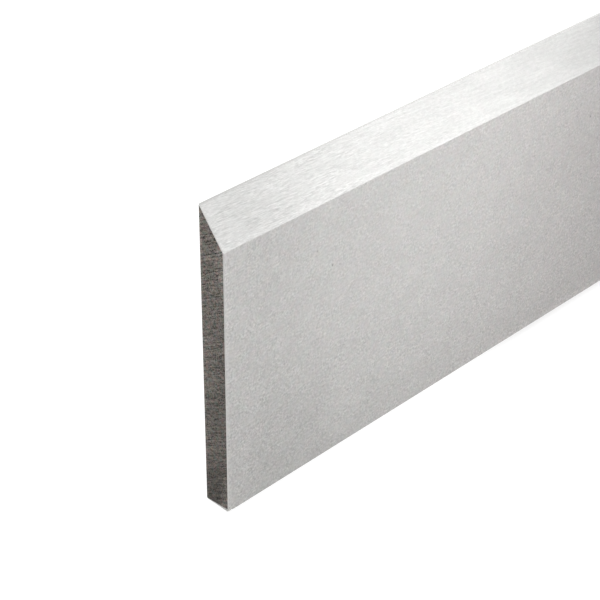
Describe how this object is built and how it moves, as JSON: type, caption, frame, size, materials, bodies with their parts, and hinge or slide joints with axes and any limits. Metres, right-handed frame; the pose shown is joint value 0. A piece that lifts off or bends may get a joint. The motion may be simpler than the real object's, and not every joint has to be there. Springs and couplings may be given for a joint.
{
  "type": "wood shaving mill knife",
  "caption": "Straight rectangular steel knife for a wood shaving mill, with a flat back and a single bevel ground along one long edge.",
  "frame": {"origin": "under the middle of the spine, on the surface that the knife stands on", "axes": "+X along the length, +Y out of the flat back, +Z from the spine to the cutting edge"},
  "size_m": [0.3048, 0.0096, 0.1016],
  "materials": {
    "ground_steel": "Fine surface-ground tool steel on the flats, brighter lengthwise grinding lines on the bevel, and dull grey cut marks on the two ends."
  },
  "bodies": {
    "root": {"mill_knife": "ground_steel"}
  },
  "joints": []
}
